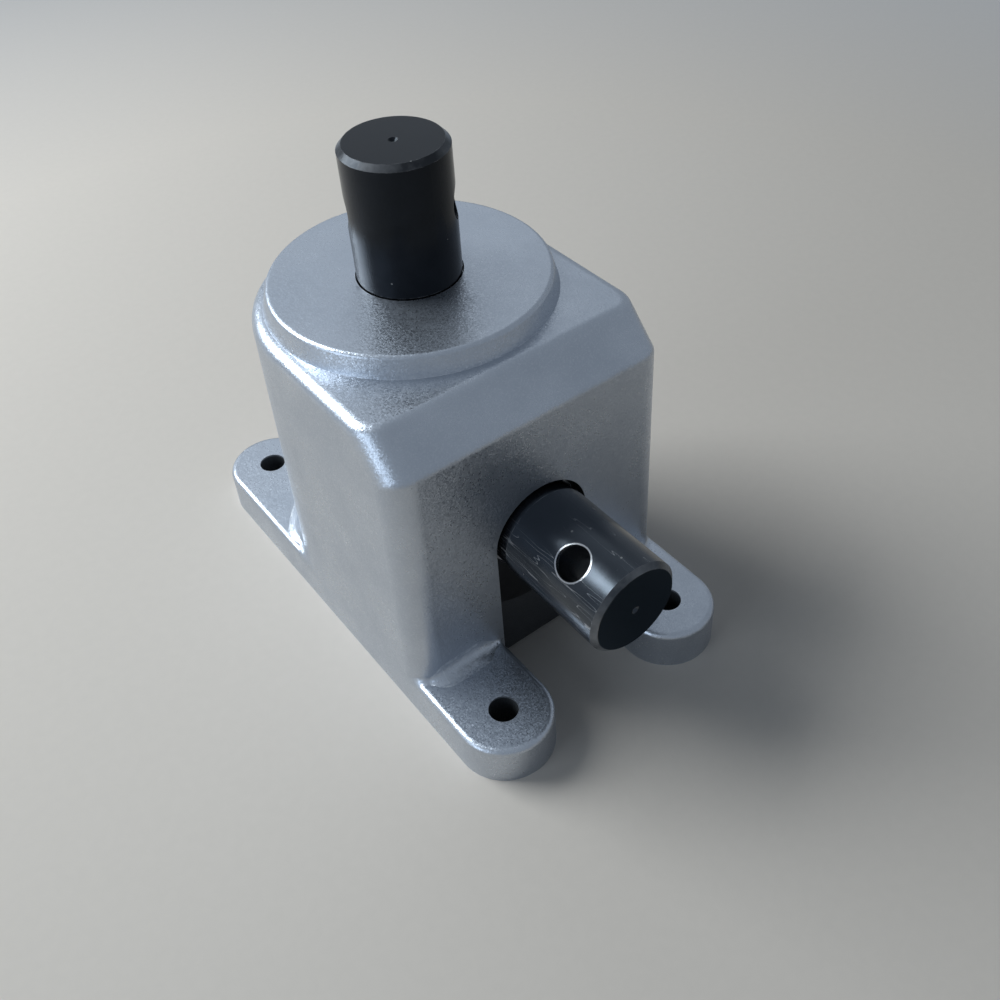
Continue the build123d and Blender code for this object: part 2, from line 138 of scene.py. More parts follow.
class GearboxCastingSettings(bpy.types.PropertyGroup):
    """The silver casting and its cover."""

    silver: bpy.props.FloatVectorProperty(
        name="Silver",
        description="Colour of the casting's silver coat",
        subtype="COLOR",
        size=3,
        min=0.0,
        max=1.0,
        default=(0.53, 0.57, 0.63),
    )
    silver_shade: bpy.props.FloatVectorProperty(
        name="Silver Shade",
        description="The coat's darker tone, in broad soft patches",
        subtype="COLOR",
        size=3,
        min=0.0,
        max=1.0,
        default=(0.46, 0.50, 0.56),
    )
    grain_size: bpy.props.FloatProperty(
        name="Grain Size",
        description="Size of one grain of the sprayed coat",
        unit="LENGTH",
        subtype="DISTANCE",
        precision=5,
        min=0.00005,
        max=0.005,
        default=0.00040,
    )
    grain_depth: bpy.props.FloatProperty(
        name="Grain Depth",
        description="How far a grain stands up",
        unit="LENGTH",
        subtype="DISTANCE",
        precision=6,
        min=0.0,
        max=0.001,
        default=0.000035,
    )
    flake_size: bpy.props.FloatProperty(
        name="Flake Size",
        description="Size of one metal flake in the coat",
        unit="LENGTH",
        subtype="DISTANCE",
        precision=5,
        min=0.00005,
        max=0.002,
        default=0.00023,
    )
    flake_lean: bpy.props.FloatProperty(
        name="Flake Lean",
        description="How far the flakes lean out of the surface",
        min=0.0,
        max=1.0,
        default=0.135,
    )


class GearboxCoveSettings(bpy.types.PropertyGroup):
    """The hollow fillets where the ears meet the body."""

    radius: bpy.props.FloatProperty(
        name="Radius",
        description="Radius of a cove at its middle",
        unit="LENGTH",
        subtype="DISTANCE",
        precision=5,
        min=0.0012,
        max=0.006,
        default=0.0036,
    )
    fade: bpy.props.FloatProperty(
        name="Fade",
        description="Length over which a cove shrinks to the casting's own fillet at an end",
        unit="LENGTH",
        subtype="DISTANCE",
        precision=5,
        min=0.001,
        max=0.01,
        default=0.0045,
    )


class GearboxSteelSettings(bpy.types.PropertyGroup):
    """The shafts, gears and bearings."""

    black: bpy.props.FloatVectorProperty(
        name="Black",
        description="Colour of the blackened shafts",
        subtype="COLOR",
        size=3,
        min=0.0,
        max=1.0,
        default=(0.008, 0.0088, 0.011),
    )
    bare: bpy.props.FloatVectorProperty(
        name="Bare Steel",
        description="Colour of bare steel where the black is rubbed off",
        subtype="COLOR",
        size=3,
        min=0.0,
        max=1.0,
        default=(0.56, 0.56, 0.57),
    )
    gear: bpy.props.FloatVectorProperty(
        name="Gear Steel",
        description="Colour of the hardened gears",
        subtype="COLOR",
        size=3,
        min=0.0,
        max=1.0,
        default=(0.30, 0.29, 0.28),
    )
    rim_width: bpy.props.FloatProperty(
        name="Rim Width",
        description="Width of the bare rim round the level shaft's cross hole",
        unit="LENGTH",
        subtype="DISTANCE",
        precision=5,
        min=0.00005,
        max=0.002,
        default=0.00032,
    )


class GearboxStageSettings(bpy.types.PropertyGroup):
    """Floor, lamps and camera."""

    floor: bpy.props.FloatVectorProperty(
        name="Floor",
        description="Colour of the floor",
        subtype="COLOR",
        size=3,
        min=0.0,
        max=1.0,
        default=(0.66, 0.595, 0.525),
    )
    key_power: bpy.props.FloatProperty(
        name="Key Light",
        description="Power of the large lamp behind on the left",
        unit="POWER",
        min=0.0,
        max=200.0,
        default=8.0,
    )
    fill_power: bpy.props.FloatProperty(
        name="Fill Light",
        description="Power of the low lamp on the left",
        unit="POWER",
        min=0.0,
        max=200.0,
        default=1.5,
    )
    back_power: bpy.props.FloatProperty(
        name="Back Light",
        description="Power of the wide lamp behind, which the level faces mirror",
        unit="POWER",
        min=0.0,
        max=200.0,
        default=0.5,
    )
    sky: bpy.props.FloatProperty(
        name="Room Light",
        description="Strength of the even light from all round",
        min=0.0,
        max=2.0,
        default=0.15,
    )


# Helpers for shader nodes


def node(tree, kind, inputs=None, **settings):
    """Adds a node with its settings; each input is a value or the socket that feeds it."""
    made = tree.nodes.new(kind)
    for key, value in settings.items():
        setattr(made, key, value)
    for key, value in (inputs or {}).items():
        if isinstance(value, bpy.types.NodeSocket):
            tree.links.new(value, made.inputs[key])
        else:
            made.inputs[key].default_value = value
    return made


def calc(tree, operation, a, b=0.0, clamp=False):
    """One step of arithmetic."""
    made = node(tree, "ShaderNodeMath", {0: a, 1: b}, operation=operation, use_clamp=clamp)
    return made.outputs[0]


def spread(tree, value, low, high, to_low=0.0, to_high=1.0):
    """Turns one range of values into another, and holds it there."""
    inputs = {0: value, 1: low, 2: high, 3: to_low, 4: to_high}
    return node(tree, "ShaderNodeMapRange", inputs, clamp=True).outputs[0]


def length_of(tree, a, b):
    """The length of a flat vector."""
    squares = calc(tree, "ADD", calc(tree, "MULTIPLY", a, a), calc(tree, "MULTIPLY", b, b))
    return calc(tree, "SQRT", squares)


def weigh(tree, a, weight_a, b, weight_b):
    """Adds two values, each times its weight."""
    first = calc(tree, "MULTIPLY", a, weight_a)
    return calc(tree, "ADD", first, calc(tree, "MULTIPLY", b, weight_b))


def blend_colour(tree, share, first, second):
    """Goes from the first colour to the second."""
    first = (*first, 1.0) if isinstance(first, tuple) else first
    second = (*second, 1.0) if isinstance(second, tuple) else second
    inputs = {0: share, 6: first, 7: second}
    return node(tree, "ShaderNodeMix", inputs, data_type="RGBA").outputs[2]


def start_group(name, inputs, outputs):
    """An empty effect with named sockets, and the nodes that stand for its two ends."""
    group = bpy.data.node_groups.new(name, "ShaderNodeTree")
    for label, kind, default in inputs:
        socket = group.interface.new_socket(label, in_out="INPUT", socket_type=kind)
        if default is not None:
            socket.default_value = default
    for label, kind in outputs:
        group.interface.new_socket(label, in_out="OUTPUT", socket_type=kind)
    given = group.nodes.new("NodeGroupInput").outputs
    result = group.nodes.new("NodeGroupOutput").inputs
    return group, given, result


def effect(tree, name, **inputs):
    """Places an effect group; a word in a socket's name is joined by an underscore here."""
    placed = tree.nodes.new("ShaderNodeGroup")
    placed.node_tree = bpy.data.node_groups[name]
    for key, value in inputs.items():
        socket = placed.inputs[key.replace("_", " ")]
        if isinstance(value, bpy.types.NodeSocket):
            tree.links.new(value, socket)
        else:
            socket.default_value = value
    return placed.outputs


# Effects that several finishes share

VECTOR = "NodeSocketVector"
NUMBER = "NodeSocketFloat"


def make_grain():
    """Fine grain: a height, and a random share for each grain."""
    inputs = [("Vector", VECTOR, None), ("Size", NUMBER, 0.0004)]
    outputs = [("Height", NUMBER), ("Chance", NUMBER)]
    group, given, result = start_group("Fine Grain", inputs, outputs)
    scale = calc(group, "DIVIDE", 1.0, given["Size"])
    cells = node(group, "ShaderNodeTexVoronoi", {"Vector": given["Vector"], "Scale": scale})
    soft = node(
        group,
        "ShaderNodeTexNoise",
        {"Vector": given["Vector"], "Scale": calc(group, "MULTIPLY", scale, 0.8), "Detail": 3.0},
    )
    domes = calc(group, "SUBTRACT", 1.0, cells.outputs["Distance"])
    height = calc(group, "ADD", calc(group, "MULTIPLY", domes, 0.2), soft.outputs[0])
    tone = node(group, "ShaderNodeSeparateColor", {0: cells.outputs["Color"]})
    group.links.new(height, result["Height"])
    group.links.new(tone.outputs[0], result["Chance"])


def make_flakes():
    """Metal flakes in a coat: a normal that leans its own way in each small cell."""
    inputs = [("Vector", VECTOR, None), ("Size", NUMBER, 0.00025), ("Lean", NUMBER, 0.3)]
    outputs = [("Normal", VECTOR), ("Chance", NUMBER)]
    group, given, result = start_group("Metal Flakes", inputs, outputs)
    scale = calc(group, "DIVIDE", 1.0, given["Size"])
    cells = node(group, "ShaderNodeTexVoronoi", {"Vector": given["Vector"], "Scale": scale})
    colour = cells.outputs["Color"]
    middle = (0.5, 0.5, 0.5)
    centred = node(group, "ShaderNodeVectorMath", {0: colour, 1: middle}, operation="SUBTRACT")
    leans = {0: centred.outputs[0], 3: given["Lean"]}
    lean = node(group, "ShaderNodeVectorMath", leans, operation="SCALE")
    plain = node(group, "ShaderNodeNewGeometry").outputs["Normal"]
    leaning = node(group, "ShaderNodeVectorMath", {0: plain, 1: lean.outputs[0]}, operation="ADD")
    unit = node(group, "ShaderNodeVectorMath", {0: leaning.outputs[0]}, operation="NORMALIZE")
    tone = node(group, "ShaderNodeSeparateColor", {0: colour})
    group.links.new(unit.outputs[0], result["Normal"])
    group.links.new(tone.outputs[0], result["Chance"])


def make_patches():
    """Broad soft patches, from 0 to 1."""
    inputs = [("Vector", VECTOR, None), ("Size", NUMBER, 0.012)]
    group, given, result = start_group("Soft Patches", inputs, [("Share", NUMBER)])
    scale = calc(group, "DIVIDE", 1.0, given["Size"])
    noise = node(
        group,
        "ShaderNodeTexNoise",
        {"Vector": given["Vector"], "Scale": scale, "Detail": 4.0, "Roughness": 0.55},
    )
    group.links.new(spread(group, noise.outputs[0], 0.32, 0.68), result["Share"])


def make_edge_wear():
    """A mask along sharp edges, broken up."""
    inputs = [("Vector", VECTOR, None), ("Width", NUMBER, 0.0004), ("Breaks", NUMBER, 0.001)]
    group, given, result = start_group("Edge Wear", inputs, [("Mask", NUMBER)])
    rounded = node(group, "ShaderNodeBevel", {"Radius": given["Width"]}, samples=6)
    plain = node(group, "ShaderNodeNewGeometry")
    match = node(
        group,
        "ShaderNodeVectorMath",
        {0: rounded.outputs[0], 1: plain.outputs["Normal"]},
        operation="DOT_PRODUCT",
    )
    edge = spread(group, match.outputs["Value"], 0.985, 0.86)
    scale = calc(group, "DIVIDE", 1.0, given["Breaks"])
    noise = node(
        group,
        "ShaderNodeTexNoise",
        {"Vector": given["Vector"], "Scale": scale, "Detail": 2.0},
    )
    broken = spread(group, noise.outputs[0], 0.38, 0.62)
    group.links.new(calc(group, "MULTIPLY", edge, broken), result["Mask"])


def make_specks():
    """Sparse small specks of dust."""
    inputs = [
        ("Vector", VECTOR, None),
        ("Spacing", NUMBER, 0.003),
        ("Share", NUMBER, 0.3),
        ("Size", NUMBER, 0.07),
    ]
    group, given, result = start_group("Dust Specks", inputs, [("Mask", NUMBER)])
    scale = calc(group, "DIVIDE", 1.0, given["Spacing"])
    cells = node(group, "ShaderNodeTexVoronoi", {"Vector": given["Vector"], "Scale": scale})
    tone = node(group, "ShaderNodeSeparateColor", {0: cells.outputs["Color"]})
    size = calc(group, "MULTIPLY", given["Size"], tone.outputs[1])
    inside = calc(group, "LESS_THAN", cells.outputs["Distance"], size)
    chosen = calc(group, "LESS_THAN", tone.outputs[0], given["Share"])
    group.links.new(calc(group, "MULTIPLY", inside, chosen), result["Mask"])


def make_turning_marks():
    """Fine lathe marks: a height that changes only along one length."""
    inputs = [("Along", NUMBER, 0.0), ("Spacing", NUMBER, 0.0002)]
    group, given, result = start_group("Turning Marks", inputs, [("Height", NUMBER)])
    scale = calc(group, "DIVIDE", 1.0, given["Spacing"])
    noise = node(
        group,
        "ShaderNodeTexNoise",
        {"W": given["Along"], "Scale": scale, "Detail": 3.0},
        noise_dimensions="1D",
    )
    group.links.new(noise.outputs[0], result["Height"])


def make_scratches():
    """Thin long scratches in a flat pattern whose second length is along them."""
    inputs = [
        ("Vector", VECTOR, None),
        ("Width", NUMBER, 0.001),
        ("Length", NUMBER, 0.02),
        ("Thinness", NUMBER, 0.012),
    ]
    group, given, result = start_group("Thin Scratches", inputs, [("Mask", NUMBER)])
    parts = node(group, "ShaderNodeSeparateXYZ", {0: given["Vector"]})
    across = calc(group, "DIVIDE", parts.outputs[0], given["Width"])
    along = calc(group, "DIVIDE", parts.outputs[1], given["Length"])
    flat = node(group, "ShaderNodeCombineXYZ", {0: across, 1: along}).outputs[0]
    noise = node(group, "ShaderNodeTexNoise", {"Vector": flat, "Scale": 1.0, "Detail": 1.0})
    centred = calc(group, "ABSOLUTE", calc(group, "SUBTRACT", noise.outputs[0], 0.5))
    line = calc(group, "LESS_THAN", centred, given["Thinness"])
    where = node(group, "ShaderNodeTexNoise", {"Vector": flat, "Scale": 0.45, "Detail": 1.0})
    seldom = spread(group, where.outputs[0], 0.52, 0.60)
    group.links.new(calc(group, "MULTIPLY", line, seldom), result["Mask"])


# Finishes


def start_finish(name, **constants):
    """A material with one main shader whose plain values are set on its own sockets."""
    material = bpy.data.materials.new(name)
    material.use_nodes = True
    tree = material.node_tree
    tree.nodes.clear()
    shader = tree.nodes.new("ShaderNodeBsdfPrincipled")
    output = tree.nodes.new("ShaderNodeOutputMaterial")
    tree.links.new(shader.outputs[0], output.inputs[0])
    for key, value in constants.items():
        shader.inputs[key.replace("_", " ")].default_value = value
    place = node(tree, "ShaderNodeTexCoord").outputs["Object"]
    return material, tree, shader.inputs, place


def raise_surface(tree, height, depth, onto=None):
    """A bump of that depth in metres, on top of another one if it is given."""
    inputs = {"Height": height, "Distance": depth, "Strength": 1.0}
    if onto is not None:
        inputs["Normal"] = onto
    return node(tree, "ShaderNodeBump", inputs).outputs[0]


def painted_shade_mask(tree, place):
    """Where the casting is painted near black as shade: on the walls of its slot and its ear holes.
    """
    x, y, z = node(tree, "ShaderNodeSeparateXYZ", {0: place}).outputs
    above = calc(tree, "MAXIMUM", calc(tree, "SUBTRACT", z, APEX_HEIGHT), 0.0)
    in_slot = calc(tree, "LESS_THAN", length_of(tree, x, above), SLOT_RADIUS + WALL_SKIN)
    behind_face = spread(tree, y, -FRONT_FACE + DARK_FROM, -FRONT_FACE + SLOT_DARK_FULL)
    slot = calc(tree, "MULTIPLY", in_slot, behind_face)
    slot = calc(tree, "MULTIPLY", slot, calc(tree, "LESS_THAN", y, -SLOT_BACK))
    from_side = calc(tree, "SUBTRACT", calc(tree, "ABSOLUTE", x), EAR_HOLE_SIDE)
    middle = (EAR_HOLE_REAR - EAR_HOLE_FRONT) / 2
    half = (EAR_HOLE_REAR + EAR_HOLE_FRONT) / 2
    from_middle = calc(tree, "ABSOLUTE", calc(tree, "SUBTRACT", y, middle))
    from_end = calc(tree, "SUBTRACT", from_middle, half)
    from_axis = length_of(tree, from_side, from_end)
    hole = calc(tree, "LESS_THAN", from_axis, EAR_HOLE_RADIUS + WALL_SKIN)
    below_top = spread(tree, z, EAR_HEIGHT - DARK_FROM, EAR_HEIGHT - EAR_DARK_FULL)
    return calc(tree, "MAXIMUM", slot, calc(tree, "MULTIPLY", hole, below_top))


def casting_finish(settings):
    """Silver spray coat on a blasted die casting: a fine grain that glitters in the light."""
    material, tree, shader, place = start_finish("silver_casting")
    grain = effect(tree, "Fine Grain", Vector=place, Size=settings.grain_size)
    flakes = effect(
        tree, "Metal Flakes", Vector=place, Size=settings.flake_size, Lean=settings.flake_lean
    )
    patches = effect(tree, "Soft Patches", Vector=place, Size=0.014)
    waves = effect(tree, "Soft Patches", Vector=place, Size=0.0045)
    # The sharp edges are coloured lighter: wear, and a painted highlight on the rims
    wear = effect(tree, "Edge Wear", Vector=place, Width=0.0003, Breaks=0.0012)
    # Painted shade: the walls of the slot and the ear holes are coloured near black
    inside = painted_shade_mask(tree, place)
    shade, silver = tuple(settings.silver_shade), tuple(settings.silver)
    colour = blend_colour(tree, patches["Share"], shade, silver)
    flake = spread(tree, flakes["Chance"], 0.60, 1.0)
    for mask, share, added in (
        (flake, FLAKE_SHARE, FLAKE_COLOUR),
        (wear["Mask"], WORN_AND_HIGHLIGHT_SHARE, WORN_AND_HIGHLIGHT_COLOUR),
        (inside, PAINTED_SHADE_SHARE, PAINTED_SHADE_COLOUR),
    ):
        colour = blend_colour(tree, calc(tree, "MULTIPLY", mask, share), colour, added)
    rough = spread(tree, patches["Share"], 0.0, 1.0, 0.40, 0.34)
    rough = calc(tree, "SUBTRACT", rough, calc(tree, "MULTIPLY", flake, 0.10))
    rough = calc(tree, "ADD", rough, calc(tree, "MULTIPLY", inside, 0.3))
    tree.links.new(colour, shader["Base Color"])
    tree.links.new(rough, shader["Roughness"])
    tree.links.new(spread(tree, inside, 0.0, 1.0, 0.93, 0.0), shader["Metallic"])
    normal = raise_surface(tree, waves["Share"], WAVE_DEPTH, flakes["Normal"])
    normal = raise_surface(tree, grain["Height"], settings.grain_depth, normal)
    tree.links.new(normal, shader["Normal"])
    return material


def shaft_finish(name, settings, turned, moved, hole_along, hole_turn, rub):
    """Blackened turned steel; rub is how far the cross hole's rim and one side are rubbed bare."""
    material, tree, shader, place = start_finish(
        name, Specular_IOR_Level=0.2 + 0.6 * rub, Specular_Tint=SHEEN_TINT
    )
    own = node(
        tree,
        "ShaderNodeMapping",
        {"Vector": place, "Rotation": (turned, 0.0, 0.0), "Location": moved},
        vector_type="POINT",
    ).outputs[0]
    x, y, along = node(tree, "ShaderNodeSeparateXYZ", {0: own}).outputs
    radius = length_of(tree, x, y)
    angle = calc(tree, "ARCTAN2", y, x)
    round_way = calc(tree, "MULTIPLY", angle, SHAFT_RADIUS)
    flat = node(tree, "ShaderNodeCombineXYZ", {0: round_way, 1: along, 2: radius}).outputs[0]

    on_end = spread(tree, along, SHAFT_REACH - END_FROM, SHAFT_REACH - END_FULL)
    side_marks = effect(tree, "Turning Marks", Along=along, Spacing=0.00022)
    end_marks = effect(tree, "Turning Marks", Along=radius, Spacing=0.00035)
    both_marks = {0: on_end, 2: side_marks["Height"], 3: end_marks["Height"]}
    marks = node(tree, "ShaderNodeMix", both_marks, data_type="FLOAT").outputs[0]
    patches = effect(tree, "Soft Patches", Vector=place, Size=0.006)
    grain = effect(tree, "Fine Grain", Vector=place, Size=0.00025)
    dust = effect(tree, "Dust Specks", Vector=place, Spacing=0.0026, Share=0.24, Size=0.13)
    scratches = effect(
        tree, "Thin Scratches", Vector=flat, Width=0.0013, Length=0.016, Thinness=0.006
    )
    streaks = effect(
        tree, "Thin Scratches", Vector=flat, Width=0.0006, Length=0.020, Thinness=0.010
    )
    wear = effect(tree, "Edge Wear", Vector=place, Width=0.0003, Breaks=0.0013)
    outside = calc(tree, "GREATER_THAN", radius, SHAFT_RADIUS - CHAMFER)
    on_side = calc(tree, "MULTIPLY", calc(tree, "LESS_THAN", along, SHAFT_REACH - CHAMFER), outside)
    rubbed_x, rubbed_y = math.cos(RUBBED_SIDE), math.sin(RUBBED_SIDE)
    facing = weigh(tree, x, rubbed_x / SHAFT_RADIUS, y, rubbed_y / SHAFT_RADIUS)
    rubbed = calc(tree, "MULTIPLY", spread(tree, facing, 0.80, 0.99), on_side)
    rubbed = calc(tree, "MULTIPLY", rubbed, spread(tree, along, RUBBED_FROM, RUBBED_FULL))

    across = weigh(tree, x, -math.sin(hole_turn), y, math.cos(hole_turn))
    beyond = calc(tree, "SUBTRACT", along, hole_along)
    from_hole = length_of(tree, across, beyond)
    uneven = spread(tree, patches["Share"], 0.0, 1.0, 0.7, 1.15)
    rim = calc(tree, "MULTIPLY", uneven, settings.rim_width)
    rim_mask = calc(tree, "LESS_THAN", calc(tree, "SUBTRACT", from_hole, HOLE_RADIUS), rim)
    rim_mask = calc(tree, "MULTIPLY", calc(tree, "MULTIPLY", rim_mask, outside), rub)
    bare = calc(tree, "MULTIPLY", calc(tree, "MULTIPLY", scratches["Mask"], on_side), 0.5 * rub)
    streak = calc(tree, "MULTIPLY", calc(tree, "MULTIPLY", streaks["Mask"], rubbed), 0.6 * rub)
    # The chamfer is mixed towards bare steel: wear, and a painted highlight
    past_side = calc(tree, "GREATER_THAN", along, SHAFT_REACH - CHAMFER)
    on_chamfer = calc(tree, "MULTIPLY", past_side, outside)
    chamfer_share = spread(tree, patches["Share"], 0.2, 0.9, 0.05, 0.30)
    chamfer_wear_and_highlight = calc(tree, "MULTIPLY", on_chamfer, chamfer_share)
    worn_edge = calc(tree, "MULTIPLY", wear["Mask"], 0.35)
    for mask in (streak, rim_mask, chamfer_wear_and_highlight, worn_edge):
        bare = calc(tree, "MAXIMUM", bare, mask)

    black = tuple(settings.black)
    greyed, painted_end_shade = (tuple(share * c for c in black) for share in (1.6, 0.7))
    colour = blend_colour(tree, patches["Share"], black, greyed)
    # Painted shade: the end face is coloured darker than the side
    colour = blend_colour(tree, calc(tree, "MULTIPLY", on_end, 0.8), colour, painted_end_shade)
    colour = blend_colour(tree, bare, colour, tuple(settings.bare))
    colour = blend_colour(tree, calc(tree, "MULTIPLY", dust["Mask"], 0.5), colour, DUST_COLOUR)
    rough = spread(tree, patches["Share"], 0.0, 1.0, 0.19, 0.26)
    rough = calc(tree, "ADD", rough, calc(tree, "MULTIPLY", dust["Mask"], 0.3), clamp=True)
    tree.links.new(colour, shader["Base Color"])
    tree.links.new(rough, shader["Roughness"])
    metal = calc(tree, "MAXIMUM", bare, calc(tree, "MULTIPLY", on_end, 0.95 * rub))
    tree.links.new(metal, shader["Metallic"])
    normal = raise_surface(tree, grain["Height"], SHAFT_GRAIN_DEPTH)
    normal = raise_surface(tree, marks, SHAFT_MARK_DEPTH, normal)
    coat = calc(tree, "SUBTRACT", 1.0, bare)
    normal = raise_surface(tree, coat, SHAFT_COAT_DEPTH, normal)
    tree.links.new(normal, shader["Normal"])
    return material


def steel_finish(
    name, colour, shade, rough, wear_share, grain_size=0.0003, grain_depth=0.000008
):
    """Plain machined steel with a fine grain, soft patches and brighter edges."""
    material, tree, shader, place = start_finish(name, Metallic=1.0)
    patches = effect(tree, "Soft Patches", Vector=place, Size=0.005)
    grain = effect(tree, "Fine Grain", Vector=place, Size=grain_size)
    wear = effect(tree, "Edge Wear", Vector=place, Width=0.00025, Breaks=0.001)
    tone = blend_colour(tree, patches["Share"], shade, colour)
    bright = tuple(min(1.0, 1.6 * c) for c in colour)
    tone = blend_colour(tree, calc(tree, "MULTIPLY", wear["Mask"], wear_share), tone, bright)
    tree.links.new(tone, shader["Base Color"])
    uneven = spread(tree, patches["Share"], 0.0, 1.0, rough + 0.08, rough - 0.04)
    tree.links.new(uneven, shader["Roughness"])
    tree.links.new(raise_surface(tree, grain["Height"], grain_depth), shader["Normal"])
    return material


def soft_finish(name, colour, shade, rough, grain_size, grain_depth):
    """Matt fibre or plastic, grained and slightly uneven in tone."""
    material, tree, shader, place = start_finish(name, Metallic=0.0)
    patches = effect(tree, "Soft Patches", Vector=place, Size=0.003)
    grain = effect(tree, "Fine Grain", Vector=place, Size=grain_size)
    tone = blend_colour(tree, patches["Share"], shade, colour)
    fleck = spread(tree, grain["Chance"], 0.75, 0.95, 0.0, 0.35)
    tone = blend_colour(tree, fleck, tone, tuple(min(1.0, 1.5 * c) for c in colour))
    tree.links.new(tone, shader["Base Color"])
    uneven = spread(tree, patches["Share"], 0.0, 1.0, rough, rough + 0.08)
    tree.links.new(uneven, shader["Roughness"])
    tree.links.new(raise_surface(tree, grain["Height"], grain_depth), shader["Normal"])
    return material


def dress(names, material):
    """Gives CAD nodes their finish."""
    for name in names:
        if name not in NODES:
            raise RuntimeError("the frame has no node named " + name)
        mesh = NODES[name].data
        mesh.materials.clear()
        mesh.materials.append(material)


# Coves


def add_object(name, shape):
    """Turns a finished bmesh into an object in the scene."""
    mesh = bpy.data.meshes.new(name)
    shape.to_mesh(mesh)
    shape.free()
    made = bpy.data.objects.new(name, mesh)
    bpy.context.scene.collection.objects.link(made)
    return made


def ease(share):
    """Softens both ends of a rise from 0 to 1."""
    return share * share * (3.0 - 2.0 * share)


def root_line(x, y, end):
    """The nearest point of the wall's outline, and how far it lies from the cove's two ends."""
    if end == "rear":
        reach = math.hypot(x, y)
        near = Vector((x / reach * REAR_RADIUS, y / reach * REAR_RADIUS))
        turn = math.atan2(near.y, near.x)
        inner = math.acos(EAR_EDGE / REAR_RADIUS) - turn
        outer = turn - COVE_END_REAR
        return near, REAR_RADIUS * inner, REAR_RADIUS * outer
    centre = Vector((CORNER_CENTRE[0], -CORNER_CENTRE[1]))
    corner = CORNER_RADIUS * COVE_END_FRONT
    if x < centre.x:
        near = Vector((x, centre.y - CORNER_RADIUS))
        return near, x - EAR_EDGE, centre.x - x + corner
    out = Vector((x, y)) - centre
    near = centre + out.normalized() * CORNER_RADIUS
    turn = math.atan2(out.x, -out.y)
    return near, centre.x - EAR_EDGE + CORNER_RADIUS * turn, corner - CORNER_RADIUS * turn


def make_cove(name, end, side, settings):
    """A quarter-round hollow swept along the foot of the body's wall, fading out at both ends."""
    up = Vector((0.0, 0.0, 1.0))
    if end == "rear":
        turn = math.acos(EAR_EDGE / REAR_RADIUS)
        outward = Vector((math.cos(turn), math.sin(turn), 0.0))
        start = REAR_RADIUS * outward
    else:
        outward = Vector((0.0, -1.0, 0.0))
        start = Vector((EAR_EDGE, -CORNER_CENTRE[1] - CORNER_RADIUS, 0.0))
    start.z = EAR_HEIGHT - COVE_SINK
    radius = settings.radius
    shape = bmesh.new()
    foot = shape.verts.new(start + radius * outward)
    bmesh.ops.spin(
        shape,
        geom=[foot],
        cent=start + radius * (outward + up),
        axis=up.cross(outward),
        angle=math.pi / 2,
        steps=COVE_STEPS,
    )
    tip = max(shape.verts, key=lambda v: v.co.z)
    corner = shape.verts.new(start - COVE_SINK * (outward + up))
    shape.edges.new((foot, corner))
    shape.edges.new((tip, corner))
    bmesh.ops.contextual_create(shape, geom=shape.edges[:])
    section = shape.faces[:]
    if end == "rear":
        sweep_turn(shape, section, Vector((0.0, 0.0, 0.0)), COVE_END_REAR - turn)
    else:
        centre = Vector((CORNER_CENTRE[0], -CORNER_CENTRE[1], 0.0))
        straight = Vector((CORNER_CENTRE[0] - EAR_EDGE, 0.0, 0.0))
        swept = bmesh.ops.spin(
            shape,
            geom=section,
            cent=start,
            axis=up,
            dvec=straight / COVE_STEPS,
            angle=0.0,
            steps=COVE_STEPS,
        )
        last = [item for item in swept["geom_last"] if isinstance(item, bmesh.types.BMFace)]
        sweep_turn(shape, last, centre, COVE_END_FRONT)
    for vert in shape.verts:
        near, from_inner, from_outer = root_line(vert.co.x, vert.co.y, end)
        share = max(0.0, min(1.0, min(from_inner, from_outer) / settings.fade))
        share = COVE_LEAST + (1.0 - COVE_LEAST) * ease(share)
        base = Vector((near.x, near.y, start.z))
        vert.co = base + share * (vert.co - base)
        vert.co.x *= side
    bmesh.ops.recalc_face_normals(shape, faces=shape.faces[:])
    for face in shape.faces:
        face.smooth = True
    for edge in shape.edges:
        edge.smooth = edge.calc_face_angle(math.pi) < COVE_SHARP
    return add_object(name, shape)


def sweep_turn(shape, section, centre, angle):
    """Sweeps a section about an upright line."""
    bmesh.ops.spin(
        shape, geom=section, cent=centre, axis=(0.0, 0.0, 1.0), angle=angle, steps=3 * COVE_STEPS
    )


# Stage


def seen_rays(tree):
    """Rays that show the background: from the camera, off metal and through glass."""
    rays = node(tree, "ShaderNodeLightPath").outputs
    mirrored = calc(tree, "MAXIMUM", rays["Is Glossy Ray"], rays["Is Transmission Ray"])
    return calc(tree, "MAXIMUM", rays["Is Camera Ray"], mirrored)


def make_floor(settings):
    """A wide plain floor that fades into the wall far away, and is clear from below."""
    shape = bmesh.new()
    bmesh.ops.create_grid(shape, x_segments=1, y_segments=1, size=FLOOR_HALF)
    floor = add_object("floor", shape)
    material, tree, shader, place = start_finish("pale_floor", Metallic=0.0, Roughness=0.85)
    colour = tuple(settings.floor)
    noise = node(tree, "ShaderNodeTexNoise", {"Vector": place, "Scale": 400.0, "Detail": 3.0})
    share = spread(tree, noise.outputs[0], 0.35, 0.65)
    tone = blend_colour(tree, share, tuple(0.985 * c for c in colour), colour)
    tree.links.new(tone, shader["Base Color"])
    away = node(tree, "ShaderNodeVectorMath", {0: place}, operation="LENGTH").outputs["Value"]
    seen = seen_rays(tree)
    far = calc(tree, "MULTIPLY", spread(tree, away, *FLOOR_FADE), seen)
    haze = node(tree, "ShaderNodeEmission", {"Color": (*WALL_COLOUR, 1.0), "Strength": 1.0})
    output = next(item for item in tree.nodes if item.type == "OUTPUT_MATERIAL")
    near = output.inputs[0].links[0].from_socket
    above = node(tree, "ShaderNodeMixShader", {0: far, 1: near, 2: haze.outputs[0]})
    below = node(tree, "ShaderNodeNewGeometry").outputs["Backfacing"]
    clear = node(tree, "ShaderNodeBsdfTransparent")
    sides = {0: below, 1: above.outputs[0], 2: clear.outputs[0]}
    choice = node(tree, "ShaderNodeMixShader", sides)
    tree.links.new(choice.outputs[0], output.inputs[0])
    floor.data.materials.append(material)


